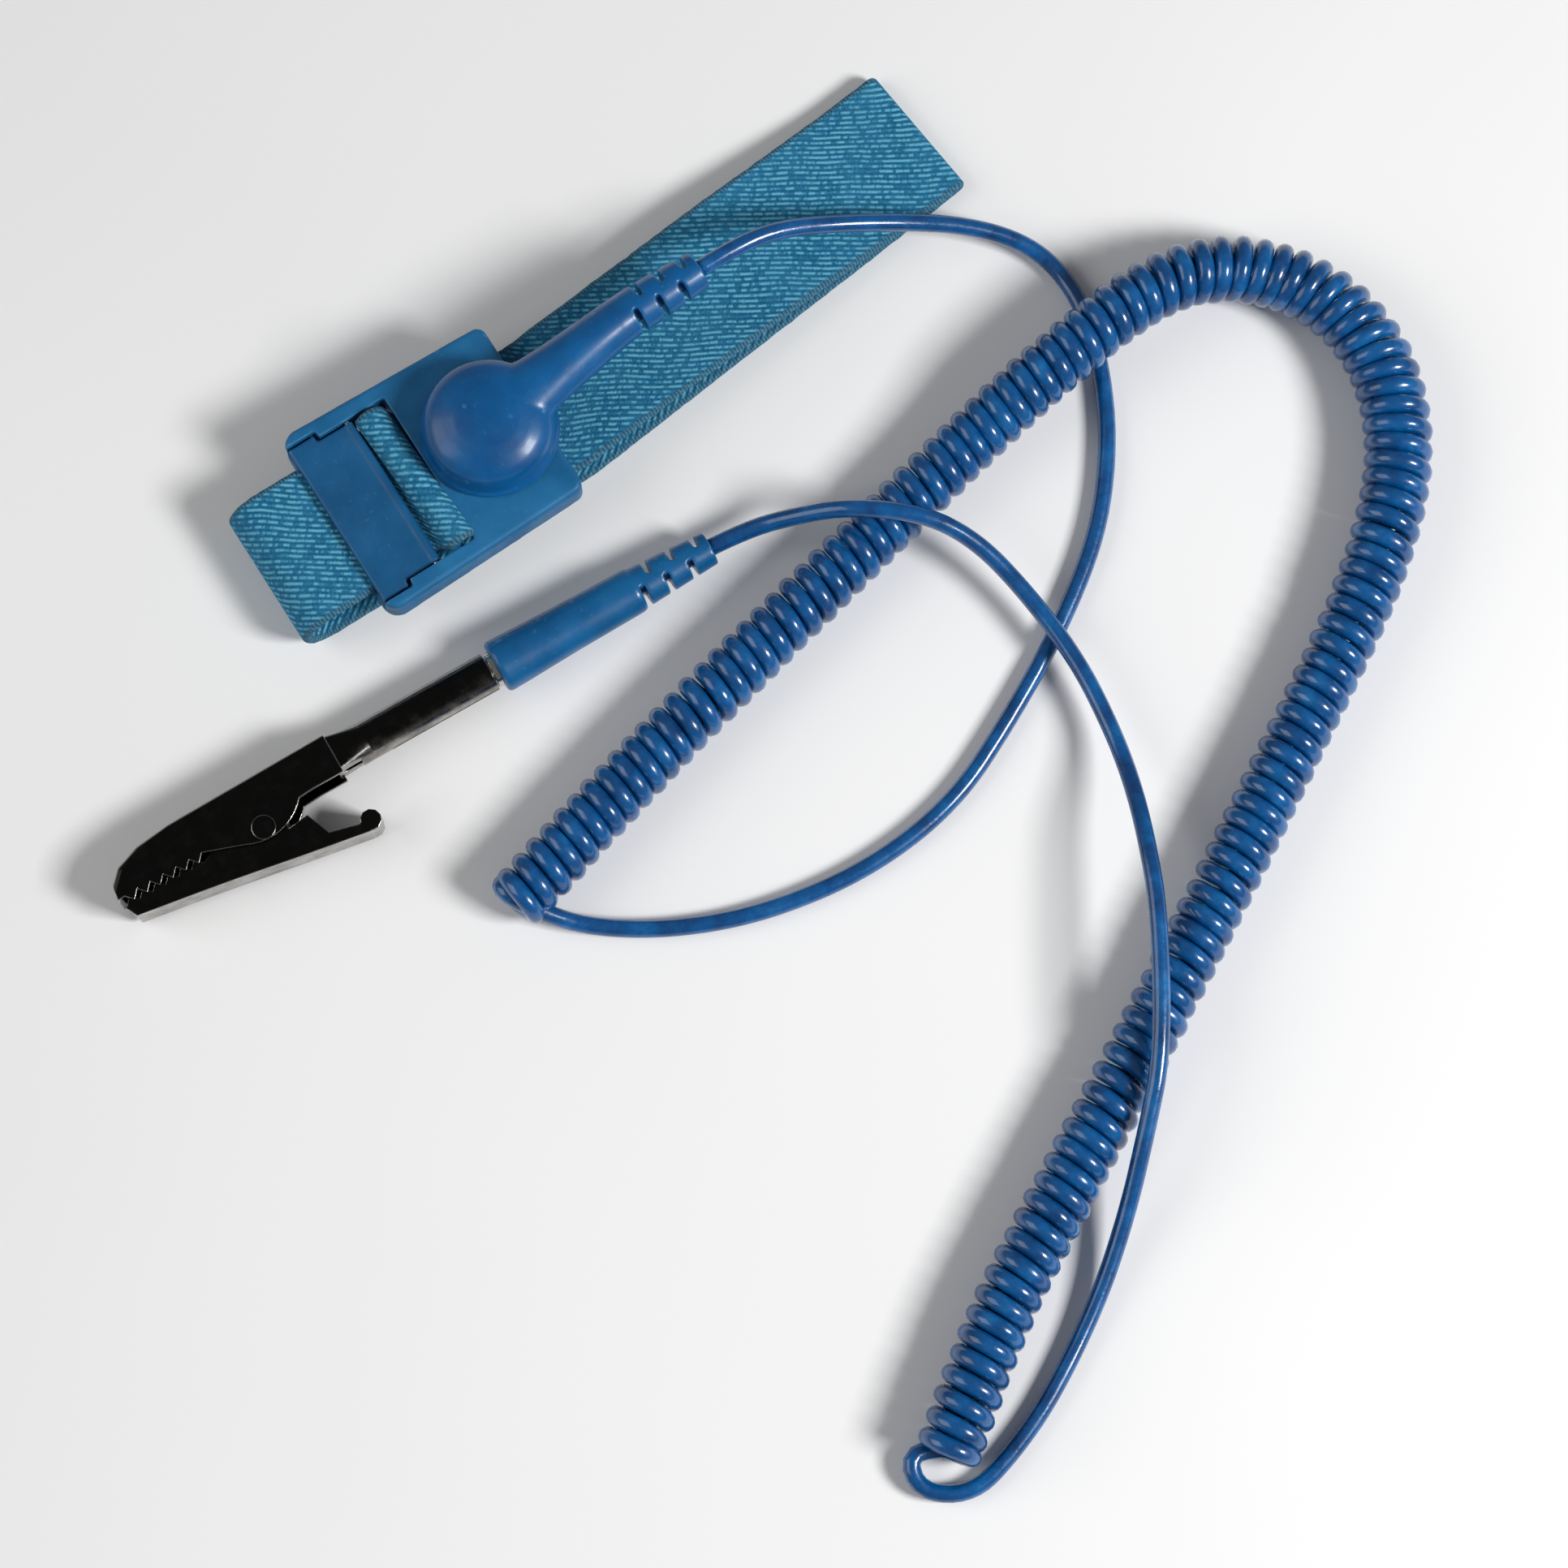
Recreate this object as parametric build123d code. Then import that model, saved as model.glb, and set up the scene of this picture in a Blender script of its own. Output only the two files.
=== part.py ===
"""Antistatic (ESD) wrist strap: elastic band, clamp buckle, press-stud cord head, curly cord, ground clip.

Millimetres, +Z up. The origin lies on the table straight under the press stud, with the band lying
on its side of the table as a flattened loop. +X runs along the buckle towards the band's far fold.
Each named sub-part goes to its own STEP file in parts/.
"""
import os
from math import atan2, cos, degrees, hypot, pi, radians, sin, tan

from build123d import *

os.makedirs("parts", exist_ok=True)

# ------------------------------------------------------------------ driving sizes
BAND_WIDTH = 20.6
BAND_THICK = 1.3
BAND_MID = BAND_THICK / 2
BAND_SEAM_X = 9.5            # where the right half of the loop swings aside
BAND_SEAM_LAP = 1.6          # each half runs this far past the seam
BAND_SWING = 6.4             # degrees, the loop's right half against the buckle
BAND_FAR_REACH = 65.9        # seam to the far fold's corner
BAND_LEFT_X = -36.3          # middle surface of the left fold

PLATE_BOTTOM_Z = 7.9         # underside of the stud plate, on the band's fixed end
BUCKLE_BOTTOM_Z = 6.6
BUCKLE_TOP_Z = 12.0
BUCKLE_LEFT_X = -25.3
BUCKLE_RIGHT_X = 6.9
BUCKLE_HALF_LEFT = 14.7
BUCKLE_HALF_RIGHT = 13.7
PLATE_LEFT_X = -9.9          # stud plate starts here, right of the slot
SLOT_HALF = 11.7
FLOOR_TOP_Z = 8.55
FLOOR_RIGHT_X = -15.2
RECESS_HALF = 11.9
EAR_RECESS_HALF = 12.95
EAR_RECESS_X = -20.4
BAR_X = -12.4
BAR_Z = 10.75
BAR_RADIUS = 0.88

STUB_Z = 9.25                # middle of the band under the lever
WRAP_HALF = 1.6              # band's middle surface round the cross bar
WRAP_TOP_Z = 12.35
WRAP_END_Z = 6.9

HINGE_X = -16.0
HINGE_Z = 10.72
HINGE_PIN_RADIUS = 0.5
HINGE_PIN_HALF = 13.4
RUNNING_GAP = 0.05
KNUCKLE_RADIUS = 0.8
LEVER_HALF = 11.6
LEVER_EAR_HALF = 12.6
LEVER_EAR_X = -20.9
LEVER_LEFT_X = -25.0
LEVER_BOTTOM_Z = 10.1
LEVER_TOP_Z = 11.3

CONTACT_TOP_Z = 6.6
CONTACT_THICK = 0.45
RIVET_RADIUS = 1.1
RIVET_HEAD_RADIUS = 3.0
RIVET_HEAD_THICK = 0.3

CAP_BASE_Z = 12.3
CAP_TOP_Z = 20.0
CAP_FLANGE_RADIUS = 9.8
CAP_RADIUS = 9.2
SOCKET_RADIUS = 4.3
SOCKET_TOP_Z = 16.9
STEM_Z = 16.0
BOOT_START = (24.2, 2.7)     # where the ribbed strain relief starts, in plan
BOOT_END = (36.0, 2.95)

CORD_DIA = 2.5
COIL_DIA = 9.0
TABLE_Z = CORD_DIA / 2 + 0.05
COIL_Z = COIL_DIA / 2 + 0.1

PLUG_Z = 4.0                 # height of the plug's and clip's shared axis
PLUG_TURN = -2.4             # degrees, plug axis against +X
PLUG_FACE = (-16.45, -27.2)  # front face of the plug grip, where the metal starts
GRIP_LENGTH = 21.9
PLUG_RELIEF_LENGTH = 12.2
GRIP_RADIUS_FRONT = 3.85
GRIP_RADIUS_BACK = 3.3
PIN_RADIUS = 2.0
PIN_LENGTH = 19.0
CORE_RADIUS = 1.1            # cord inside the mouldings

SHEET = 0.6                  # clip's sheet metal
CLIP_BARREL_RADIUS = 2.8
CLIP_BARREL_START = 1.0
CLIP_BARREL_END = 21.0
CLIP_CHANNEL_START = 26.0
CLIP_UPPER_HALF = 3.7        # half width of the upper jaw's channel
CLIP_LOWER_HALF = 2.9        # the lower jaw nests inside
PIVOT_U = 38.6
PIVOT_V = 4.3
PIVOT_RADIUS = 1.0
TOOTH_PITCH = 2.0
TOOTH_DEPTH = 1.1
TOOTH_COUNT = 6
SPRING_WIRE_RADIUS = 0.35
SPRING_COIL_RADIUS = 1.75

# Routes of the cord, (x, y, z) at each turn, chosen by hand. Each tail first runs straight out of its
# moulding for EXIT_RUN, and ends inside the coil's last turn.
EXIT_RUN = 6.2
SNAP_TAIL_BEND = [
    (49.0, 2.4, 14.2),
    (57.0, -0.2, 10.2),
    (65.0, -3.8, 7.3),
    (73.0, -8.3, 5.2),
    (79.8, -13.3, 2.7),
    (83.4, -19.6, TABLE_Z),
    (82.6, -28.0, TABLE_Z),
    (79.2, -37.5, TABLE_Z),
    (73.8, -46.8, TABLE_Z),
    (65.2, -56.0, TABLE_Z),
    (53.0, -64.0, TABLE_Z),
    (40.0, -70.8, TABLE_Z),
    (26.8, -76.4, TABLE_Z),
    (12.0, -78.4, TABLE_Z),
    (-3.4, -76.6, TABLE_Z),
    (-15.5, -71.2, TABLE_Z),
    (-24.6, -64.6, TABLE_Z),
    (-31.6, -59.0, 2.0),
    (-32.2, -54.2, 3.4),
    (-27.4, -53.0, 4.8),
]
CLIP_TAIL_BEND = [
    (30.4, -30.0, 7.0),
    (36.6, -33.8, 11.9),
    (44.8, -40.8, 11.9),
    (49.2, -48.0, 8.6),
    (51.8, -57.0, 5.6),
    (53.4, -69.4, 5.0),
    (52.6, -80.0, 4.6),
    (50.2, -88.6, 7.2),
    (46.4, -96.6, 10.6),
    (41.2, -105.8, 12.2),
    (30.4, -121.4, 12.2),
    (23.0, -128.6, 9.4),
    (14.6, -136.4, 4.6),
    (5.0, -143.8, 1.7),
    (-6.0, -149.8, TABLE_Z),
    (-16.6, -154.8, TABLE_Z),
    (-24.6, -157.8, TABLE_Z),
    (-28.8, -153.2, 1.6),
    (-27.0, -147.6, 3.0),
    (-21.6, -146.4, 4.8),
]
COIL_ROUTE = [
    (-29.4, -54.6, COIL_Z),
    (-8.0, -49.5, COIL_Z),
    (16.0, -43.9, COIL_Z),
    (40.0, -38.4, COIL_Z),
    (57.0, -34.7, COIL_Z + 0.8),
    (70.0, -32.6, 8.5),
    (90.0, -29.2, 8.5),
    (102.6, -33.0, 6.0),
    (110.6, -43.4, COIL_Z),
    (112.4, -56.6, COIL_Z),
    (105.6, -70.0, COIL_Z),
    (92.0, -81.8, COIL_Z),
    (74.0, -92.9, COIL_Z),
    (52.0, -105.8, COIL_Z),
    (29.0, -118.6, COIL_Z),
    (6.0, -131.6, COIL_Z),
    (-8.0, -139.8, COIL_Z),
    (-21.4, -149.6, COIL_Z),
]


def save(node, shape):
    export_step(shape, os.path.join("parts", node + ".step"))


def box_between(low, high):
    """A box from its lowest and highest corners."""
    size = [high[i] - low[i] for i in range(3)]
    middle = [(high[i] + low[i]) / 2 for i in range(3)]
    return Pos(*middle) * Box(*size)


def drum(radius, z_low, z_high, x=0.0, y=0.0):
    """An upright cylinder."""
    return Pos(x, y, (z_low + z_high) / 2) * Cylinder(radius, z_high - z_low)


def rod(start, end, radius):
    """A round rod between two points."""
    line = Line(start, end)
    return sweep(Plane(line @ 0, z_dir=line % 0) * Circle(radius), path=line)


# ------------------------------------------------------------------ band and buckle
def strip(points, corner_radii):
    """The band's flat section carried along a path in the XZ plane."""
    path = FilletPolyline([(x, 0, z) for x, z in points], radius=corner_radii)
    section = Plane(path @ 0, x_dir=(0, 1, 0), z_dir=path % 0) * Rectangle(BAND_WIDTH, BAND_THICK)
    return sweep(section, path=path)


def make_elastic_band():
    seam = BAND_SEAM_X
    anchor_z = PLATE_BOTTOM_Z - BAND_MID
    wrap_left = BAR_X - WRAP_HALF
    wrap_right = BAR_X + WRAP_HALF
    left_half = strip(
        [(seam + BAND_SEAM_LAP, BAND_MID), (BAND_LEFT_X, BAND_MID), (BAND_LEFT_X, STUB_Z),
         (wrap_left, STUB_Z), (wrap_left, WRAP_TOP_Z), (wrap_right, WRAP_TOP_Z), (wrap_right, WRAP_END_Z)],
        [4.28, 4.28, 1.2, 1.58, 1.58])
    anchored_end = box_between(
        (-6.5, -BAND_WIDTH / 2, anchor_z - BAND_MID), (seam + BAND_SEAM_LAP, BAND_WIDTH / 2, PLATE_BOTTOM_Z))
    far = BAND_FAR_REACH
    fold_z = BAND_MID + BAND_THICK + 0.2
    right_half = strip(
        [(-BAND_SEAM_LAP, anchor_z), (5.0, anchor_z), (32.0, 5.3), (57.0, fold_z), (far, fold_z),
         (far, BAND_MID), (-BAND_SEAM_LAP, BAND_MID)],
        [60, 100, 60, 0.74, 0.74])
    right_half = Pos(seam, 0, 0) * Rot(0, 0, BAND_SWING) * right_half
    rivet_hole = drum(RIVET_RADIUS, CONTACT_TOP_Z - 1, PLATE_BOTTOM_Z + 1)
    return left_half + anchored_end + right_half - rivet_hole


def make_buckle_body():
    outline = Polygon(
        (BUCKLE_LEFT_X, BUCKLE_HALF_LEFT), (BUCKLE_LEFT_X, -BUCKLE_HALF_LEFT),
        (BUCKLE_RIGHT_X, -BUCKLE_HALF_RIGHT), (BUCKLE_RIGHT_X, BUCKLE_HALF_RIGHT), align=None)
    left_corners = outline.vertices().filter_by(lambda v: v.X < 0)
    outline = fillet(left_corners, 2.4)
    right_corners = outline.vertices().sort_by(Axis.X)[-2:]
    outline = fillet(right_corners, 1.5)
    body = Pos(0, 0, BUCKLE_BOTTOM_Z) * extrude(outline, BUCKLE_TOP_Z - BUCKLE_BOTTOM_Z)
    body = fillet(body.faces().sort_by(Axis.Z)[-1].edges(), 0.7)
    left = BUCKLE_LEFT_X - 1
    top = BUCKLE_TOP_Z + 1
    body -= box_between((left, -RECESS_HALF, FLOOR_TOP_Z), (PLATE_LEFT_X, RECESS_HALF, top))
    body -= box_between((left, -EAR_RECESS_HALF, FLOOR_TOP_Z), (EAR_RECESS_X, EAR_RECESS_HALF, top))
    body -= box_between((FLOOR_RIGHT_X, -SLOT_HALF, BUCKLE_BOTTOM_Z - 1), (PLATE_LEFT_X, SLOT_HALF, top))
    body -= box_between(
        (PLATE_LEFT_X - 1, -BAND_WIDTH / 2 - 0.1, BUCKLE_BOTTOM_Z - 1),
        (BUCKLE_RIGHT_X + 1, BAND_WIDTH / 2 + 0.1, PLATE_BOTTOM_Z))
    body += rod((BAR_X, -SLOT_HALF - 1, BAR_Z), (BAR_X, SLOT_HALF + 1, BAR_Z), BAR_RADIUS)
    body -= rod((HINGE_X, -HINGE_PIN_HALF, HINGE_Z), (HINGE_X, HINGE_PIN_HALF, HINGE_Z), HINGE_PIN_RADIUS)
    return body - drum(RIVET_RADIUS, PLATE_BOTTOM_Z - 1, top)


def make_clamp_lever():
    panel = box_between((LEVER_LEFT_X, -LEVER_HALF, LEVER_BOTTOM_Z), (HINGE_X, LEVER_HALF, LEVER_TOP_Z))
    ears = box_between((LEVER_LEFT_X, -LEVER_EAR_HALF, LEVER_BOTTOM_Z),
                       (LEVER_EAR_X, LEVER_EAR_HALF, LEVER_TOP_Z))
    plate = panel + ears
    free_edges = plate.edges().filter_by(Axis.Y).group_by(Axis.X)[0]
    plate = fillet(free_edges, 0.4)
    knuckle = rod((HINGE_X, -LEVER_HALF, HINGE_Z), (HINGE_X, LEVER_HALF, HINGE_Z), KNUCKLE_RADIUS)
    bore_radius = HINGE_PIN_RADIUS + RUNNING_GAP
    return plate + knuckle - rod((HINGE_X, -LEVER_EAR_HALF, HINGE_Z), (HINGE_X, LEVER_EAR_HALF, HINGE_Z),
                                 bore_radius)


def make_contact_plate():
    sheet = fillet(Rectangle(14.5, 19.0).vertices(), 2.0)
    plate = Pos(-1.2, 0, CONTACT_TOP_Z - CONTACT_THICK) * extrude(sheet, CONTACT_THICK)
    return plate - drum(RIVET_RADIUS, CONTACT_TOP_Z - 2, CONTACT_TOP_Z + 1)


def turned(profile):
    """A solid of revolution about the stud's axis from (radius, z) points."""
    face = Plane.XZ * Polygon(*profile, align=None)
    return revolve(face, axis=Axis.Z)


def make_snap_stud():
    base = BUCKLE_TOP_Z
    return turned([
        (RIVET_RADIUS, base), (3.9, base), (3.9, base + 0.15), (3.6, base + 0.25), (2.1, base + 0.25),
        (1.95, base + 0.5), (1.95, base + 1.6), (2.35, base + 2.1), (2.35, base + 2.5), (2.1, base + 3.1),
        (1.5, base + 3.5), (0, base + 3.6), (0, base + 3.0), (RIVET_RADIUS, base + 3.0)])


def make_stud_rivet():
    head_top = CONTACT_TOP_Z - CONTACT_THICK
    head = drum(RIVET_HEAD_RADIUS, head_top - RIVET_HEAD_THICK, head_top)
    return head + drum(RIVET_RADIUS, head_top, BUCKLE_TOP_Z + 2.9)


# ------------------------------------------------------------------ cord head
BOOT_LENGTH = hypot(BOOT_END[0] - BOOT_START[0], BOOT_END[1] - BOOT_START[1])
BOOT_HEADING = degrees(atan2(BOOT_END[1] - BOOT_START[1], BOOT_END[0] - BOOT_START[0]))


def boot_point(distance):
    """A point on the axis of the ribbed strain relief, at a distance from its start."""
    heading = radians(BOOT_HEADING)
    return (BOOT_START[0] + distance * cos(heading), BOOT_START[1] + distance * sin(heading), STEM_Z)


def stem_section(x, y, heading, half_wide, half_high, z=STEM_Z):
    """An oval section of the stem, square to its heading in degrees."""
    across = (-sin(radians(heading)), cos(radians(heading)), 0)
    along = (cos(radians(heading)), sin(radians(heading)), 0)
    return Plane((x, y, z), x_dir=across, z_dir=along) * Ellipse(half_wide, half_high)


def relief_slots(frame, length, radius, count, height):
    """Slots cut from alternate sides of a strain relief that runs along the frame's +X."""
    slots = []
    pitch = length / count
    web = 0.55
    for i in range(count):
        side = 1 if i % 2 else -1
        middle = pitch * (i + 0.55)
        depth = radius + 1
        slot = Pos(middle, side * (depth / 2 + web), 0) * Box(pitch * 0.42, depth, height)
        slots.append(frame * slot)
    return slots


def make_snap_cap():
    z0 = CAP_BASE_Z
    dome = turned([(0, z0), (CAP_FLANGE_RADIUS, z0), (CAP_FLANGE_RADIUS, z0 + 0.7), (CAP_RADIUS, z0 + 1.1),
                   (CAP_RADIUS - 0.2, z0 + 3.8), (CAP_RADIUS - 0.6, z0 + 4.9), (CAP_RADIUS - 1.6, z0 + 5.85),
                   (CAP_RADIUS - 3.0, z0 + 6.6), (CAP_RADIUS - 4.8, z0 + 7.2), (CAP_RADIUS - 6.8, z0 + 7.58),
                   (0, CAP_TOP_Z)])
    stem = loft([
        stem_section(3.0, 0.2, 6, 5.0, 3.2),
        stem_section(7.5, 0.8, 6, 4.5, 3.3),
        stem_section(10.5, 1.15, 6, 4.15, 3.4),
        stem_section(14.0, 1.55, 6, 3.85, 3.5),
        stem_section(19.0, 2.15, 5, 3.55, 3.55),
        stem_section(BOOT_START[0], BOOT_START[1], 2, 3.3, 3.3)])
    relief = loft([
        stem_section(*BOOT_START, 2, 3.3, 3.3),
        stem_section(*boot_point(BOOT_LENGTH / 2)[:2], BOOT_HEADING, 3.15, 3.05),
        stem_section(*BOOT_END, BOOT_HEADING, 2.75, 2.65)])
    cap = dome + stem + relief
    frame = Pos(*BOOT_START, STEM_Z) * Rot(0, 0, BOOT_HEADING)
    for slot in relief_slots(frame, BOOT_LENGTH - 1.0, 3.0, 6, 8.0):
        cap -= slot
    cap -= drum(SOCKET_RADIUS, CAP_BASE_Z - 1, SOCKET_TOP_Z)
    for start, end, radius in inner_rods():
        cap -= rod(start, end, radius)
    return cap


def along_stem(distance):
    """A point on the stem's axis at a distance from the stud."""
    heading = radians(6)
    return (distance * cos(heading), distance * sin(heading), STEM_Z)


RESISTOR_ENDS = (along_stem(8.5), along_stem(14.8))
CRIMP_ENDS = (along_stem(17.2), along_stem(21.2))
CORD_END_RUN = (along_stem(21.4), boot_point(BOOT_LENGTH - 0.06))
SOCKET_SIDE = along_stem(SOCKET_RADIUS - 0.02)
RESISTOR_RADIUS = 1.2
LEAD_RADIUS = 0.3
CRIMP_RADIUS = 1.0


def inner_rods():
    """Everything round that the moulding holds between the socket and the cord."""
    return [
        (along_stem(3.0), RESISTOR_ENDS[0], LEAD_RADIUS),
        (RESISTOR_ENDS[0], RESISTOR_ENDS[1], RESISTOR_RADIUS),
        (RESISTOR_ENDS[1], CRIMP_ENDS[0], LEAD_RADIUS),
        (CRIMP_ENDS[0], CRIMP_ENDS[1], CRIMP_RADIUS),
        (CORD_END_RUN[0], CORD_END_RUN[1], CORE_RADIUS),
    ]


def make_snap_socket():
    """A pressed cup whose mouth takes the stud, with a groove for the spring ring."""
    r = SOCKET_RADIUS
    low = CAP_BASE_Z + 0.1
    return turned([(3.1, low), (r, low), (r, SOCKET_TOP_Z), (0, SOCKET_TOP_Z), (0, SOCKET_TOP_Z - 0.6),
                   (2.9, SOCKET_TOP_Z - 0.6), (2.9, low + 1.6), (3.35, low + 1.5), (3.35, low + 0.7),
                   (3.1, low + 0.6)])


def make_snap_spring():
    """A split ring of spring wire that grips the stud's neck."""
    arc = CenterArc((0, 0, CAP_BASE_Z + 1.2), 2.85, 20, 320)
    return sweep(Plane(arc @ 0, z_dir=arc % 0) * Circle(0.3), path=arc)


# ------------------------------------------------------------------ cord
def corner_radii(points):
    """0.45 of the shorter run at each corner, divided by the tangent of half the turn."""
    radii = []
    for before, corner, after in zip(points, points[1:], points[2:]):
        run_in = Vector(*corner) - Vector(*before)
        run_out = Vector(*after) - Vector(*corner)
        half_turn = radians(run_in.get_angle(run_out)) / 2
        radii.append(0.45 * min(run_in.length, run_out.length) / tan(half_turn))
    return radii


def tube(name, points, diameter):
    radii = corner_radii(points)
    path = FilletPolyline(points, radius=radii)
    solid = sweep(Plane(path @ 0, z_dir=path % 0) * Circle(diameter / 2), path=path)
    ideal = pi * diameter ** 2 / 4 * path.length
    print(name, "length", round(path.length, 1), "volume over section x length",
          round(solid.volume / ideal, 4), "radii", [round(r, 1) for r in radii])
    return solid


# ------------------------------------------------------------------ plug
# The plug and clip share a frame: +X (u) runs from the grip's front face to the clip's tip,
# +Y (v) towards the clip's thumb lever, +Z up.
PLUG_FRAME = Pos(*PLUG_FACE, PLUG_Z) * Rot(0, 0, 180 + PLUG_TURN)
PLUG_BACK = -(GRIP_LENGTH + PLUG_RELIEF_LENGTH)


def plug_axis_point(u):
    """A point on the plug's axis, in the part's own frame."""
    place = (PLUG_FRAME * Pos(u, 0, 0)).position
    return (place.X, place.Y, place.Z)


def round_along_u(stations):
    """A round solid along u from (u, radius) stations."""
    outline = [(stations[0][0], 0)] + list(stations) + [(stations[-1][0], 0)]
    return revolve(Polygon(*outline, align=None), axis=Axis.X)


def make_plug_grip():
    grip = round_along_u([
        (PLUG_BACK, 2.45), (-GRIP_LENGTH - 0.6, 3.05), (-GRIP_LENGTH, GRIP_RADIUS_BACK),
        (-GRIP_LENGTH * 0.5, 3.5), (-4.0, 3.75), (-0.5, GRIP_RADIUS_FRONT), (0, GRIP_RADIUS_FRONT - 0.35)])
    frame = Pos(-GRIP_LENGTH, 0, 0) * Rot(0, 0, 180)
    for slot in relief_slots(frame, PLUG_RELIEF_LENGTH - 0.9, 3.0, 6, 8.0):
        grip -= slot
    grip -= round_along_u([(-9.0, 1.6), (0.5, 1.6)])
    grip -= round_along_u([(PLUG_BACK - 1, CORE_RADIUS), (-9.0, CORE_RADIUS)])
    return PLUG_FRAME * grip


def make_plug_cord_end():
    return PLUG_FRAME * round_along_u([(PLUG_BACK, CORE_RADIUS), (-9.0, CORE_RADIUS)])


def make_banana_pin():
    """The turned pin: shank in the grip, collar at its face, waist for the spring cage, round nose."""
    tip = PIN_LENGTH
    return PLUG_FRAME * round_along_u([
        (-9.0, 1.6), (0.0, 1.6), (0.0, 2.5), (0.8, 2.5), (0.8, PIN_RADIUS), (2.6, PIN_RADIUS), (2.6, 1.4),
        (tip - 2.6, 1.4), (tip - 2.6, PIN_RADIUS), (tip - 1.2, PIN_RADIUS), (tip - 0.4, 1.5), (tip, 0.7)])


def make_banana_spring():
    """A slotted cage of four bowed leaves round the pin's waist."""
    low, high = 2.7, PIN_LENGTH - 2.7
    middle = (low + high) / 2
    outer = round_along_u([(low, 1.95), (middle - 3, 2.2), (middle + 3, 2.2), (high, 1.95)])
    inner = round_along_u([(low - 1, 1.45), (low + 1.2, 1.45), (middle - 3, 1.9), (middle + 3, 1.9),
                           (high - 1.2, 1.45), (high + 1, 1.45)])
    cage = outer - inner
    for turn in (0, 90):
        cage -= Rot(turn, 0, 0) * Pos(middle, 0, 0) * Box(high - low - 3.0, 0.7, 6)
    return PLUG_FRAME * cage


# ------------------------------------------------------------------ ground clip
def outline_solid(points, half_width):
    """A flat outline in the clip's u-v plane, thickened evenly above and below the axis."""
    face = Polygon(*points, align=None)
    return Pos(0, 0, -half_width) * extrude(face, 2 * half_width)


def teeth(first_u, v_root, direction):
    """Points of a saw-tooth edge, walking towards the pivot."""
    points = []
    for i in range(TOOTH_COUNT):
        u = first_u - i * TOOTH_PITCH
        points.append((u, v_root))
        points.append((u - TOOTH_PITCH / 2, v_root + direction * TOOTH_DEPTH))
    points.append((first_u - TOOTH_COUNT * TOOTH_PITCH, v_root))
    return points


def lobe(centre, radius, first, last, steps):
    """Points of a round lobe between two angles in degrees."""
    angles = [radians(first + (last - first) * i / steps) for i in range(steps + 1)]
    return [(centre[0] + radius * cos(a), centre[1] + radius * sin(a)) for a in angles]


def make_clip_upper_jaw():
    back = [(22.6, -3.2), (50.0, -2.8), (55.0, -2.2), (58.6, -0.9), (60.3, 0.9), (60.7, 3.2)]
    mouth = teeth(59.6, 3.1, 1)
    cheek = lobe((38.4, -1.6), 7.6, 62, 142, 10)
    outline = back + mouth + cheek + [(29.6, 2.9), (22.6, 2.9)]
    outer = outline_solid(outline, CLIP_UPPER_HALF)
    spine_edges = outer.edges().filter_by(lambda e: e.center().Y < 0.2 and abs(e.center().Z) > 3.6)
    outer = fillet(spine_edges, 0.9)
    hollow = [(20.0, -3.2 + SHEET), (50.0, -2.8 + SHEET), (54.8, -2.2 + SHEET), (58.2, -0.4), (59.6, 1.2),
              (60.0, 3.0), (62.0, 9.0), (20.0, 9.0)]
    channel = outer - outline_solid(hollow, CLIP_UPPER_HALF - SHEET)
    channel -= box_between((20, -6, -6), (CLIP_CHANNEL_START - 0.6, 6, 6))
    barrel = round_along_u([(CLIP_BARREL_START, CLIP_BARREL_RADIUS), (CLIP_BARREL_END, CLIP_BARREL_RADIUS)])
    barrel -= round_along_u([(0, CLIP_BARREL_RADIUS - 0.5), (CLIP_BARREL_END + 1, CLIP_BARREL_RADIUS - 0.5)])
    barrel -= Pos(8, 2.6, 0) * Box(20, 3, 0.5)
    neck = neck_solid(0) - neck_solid(SHEET)
    neck -= box_between((CLIP_BARREL_END + 1.4, 2.2, -5), (CLIP_CHANNEL_START + 1, 6, 5))
    jaw = channel + neck + barrel
    jaw -= Pos(PIVOT_U, PIVOT_V, 0) * Cylinder(PIVOT_RADIUS, 12)
    return PLUG_FRAME * jaw


def neck_solid(inset):
    """The flare between the round barrel and the square channel."""
    start = Plane((CLIP_BARREL_END - 0.5, 0, 0), x_dir=(0, 1, 0), z_dir=(1, 0, 0))
    start *= Circle(CLIP_BARREL_RADIUS - inset * 0.83)
    height = 5.8 - 2 * inset
    width = 2 * CLIP_UPPER_HALF - 0.3 - 2 * inset
    mouth = Plane((CLIP_CHANNEL_START, -0.12, 0), x_dir=(0, 1, 0), z_dir=(1, 0, 0))
    mouth *= RectangleRounded(height, width, 0.9 - inset * 0.6)
    return loft([start, mouth])


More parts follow.
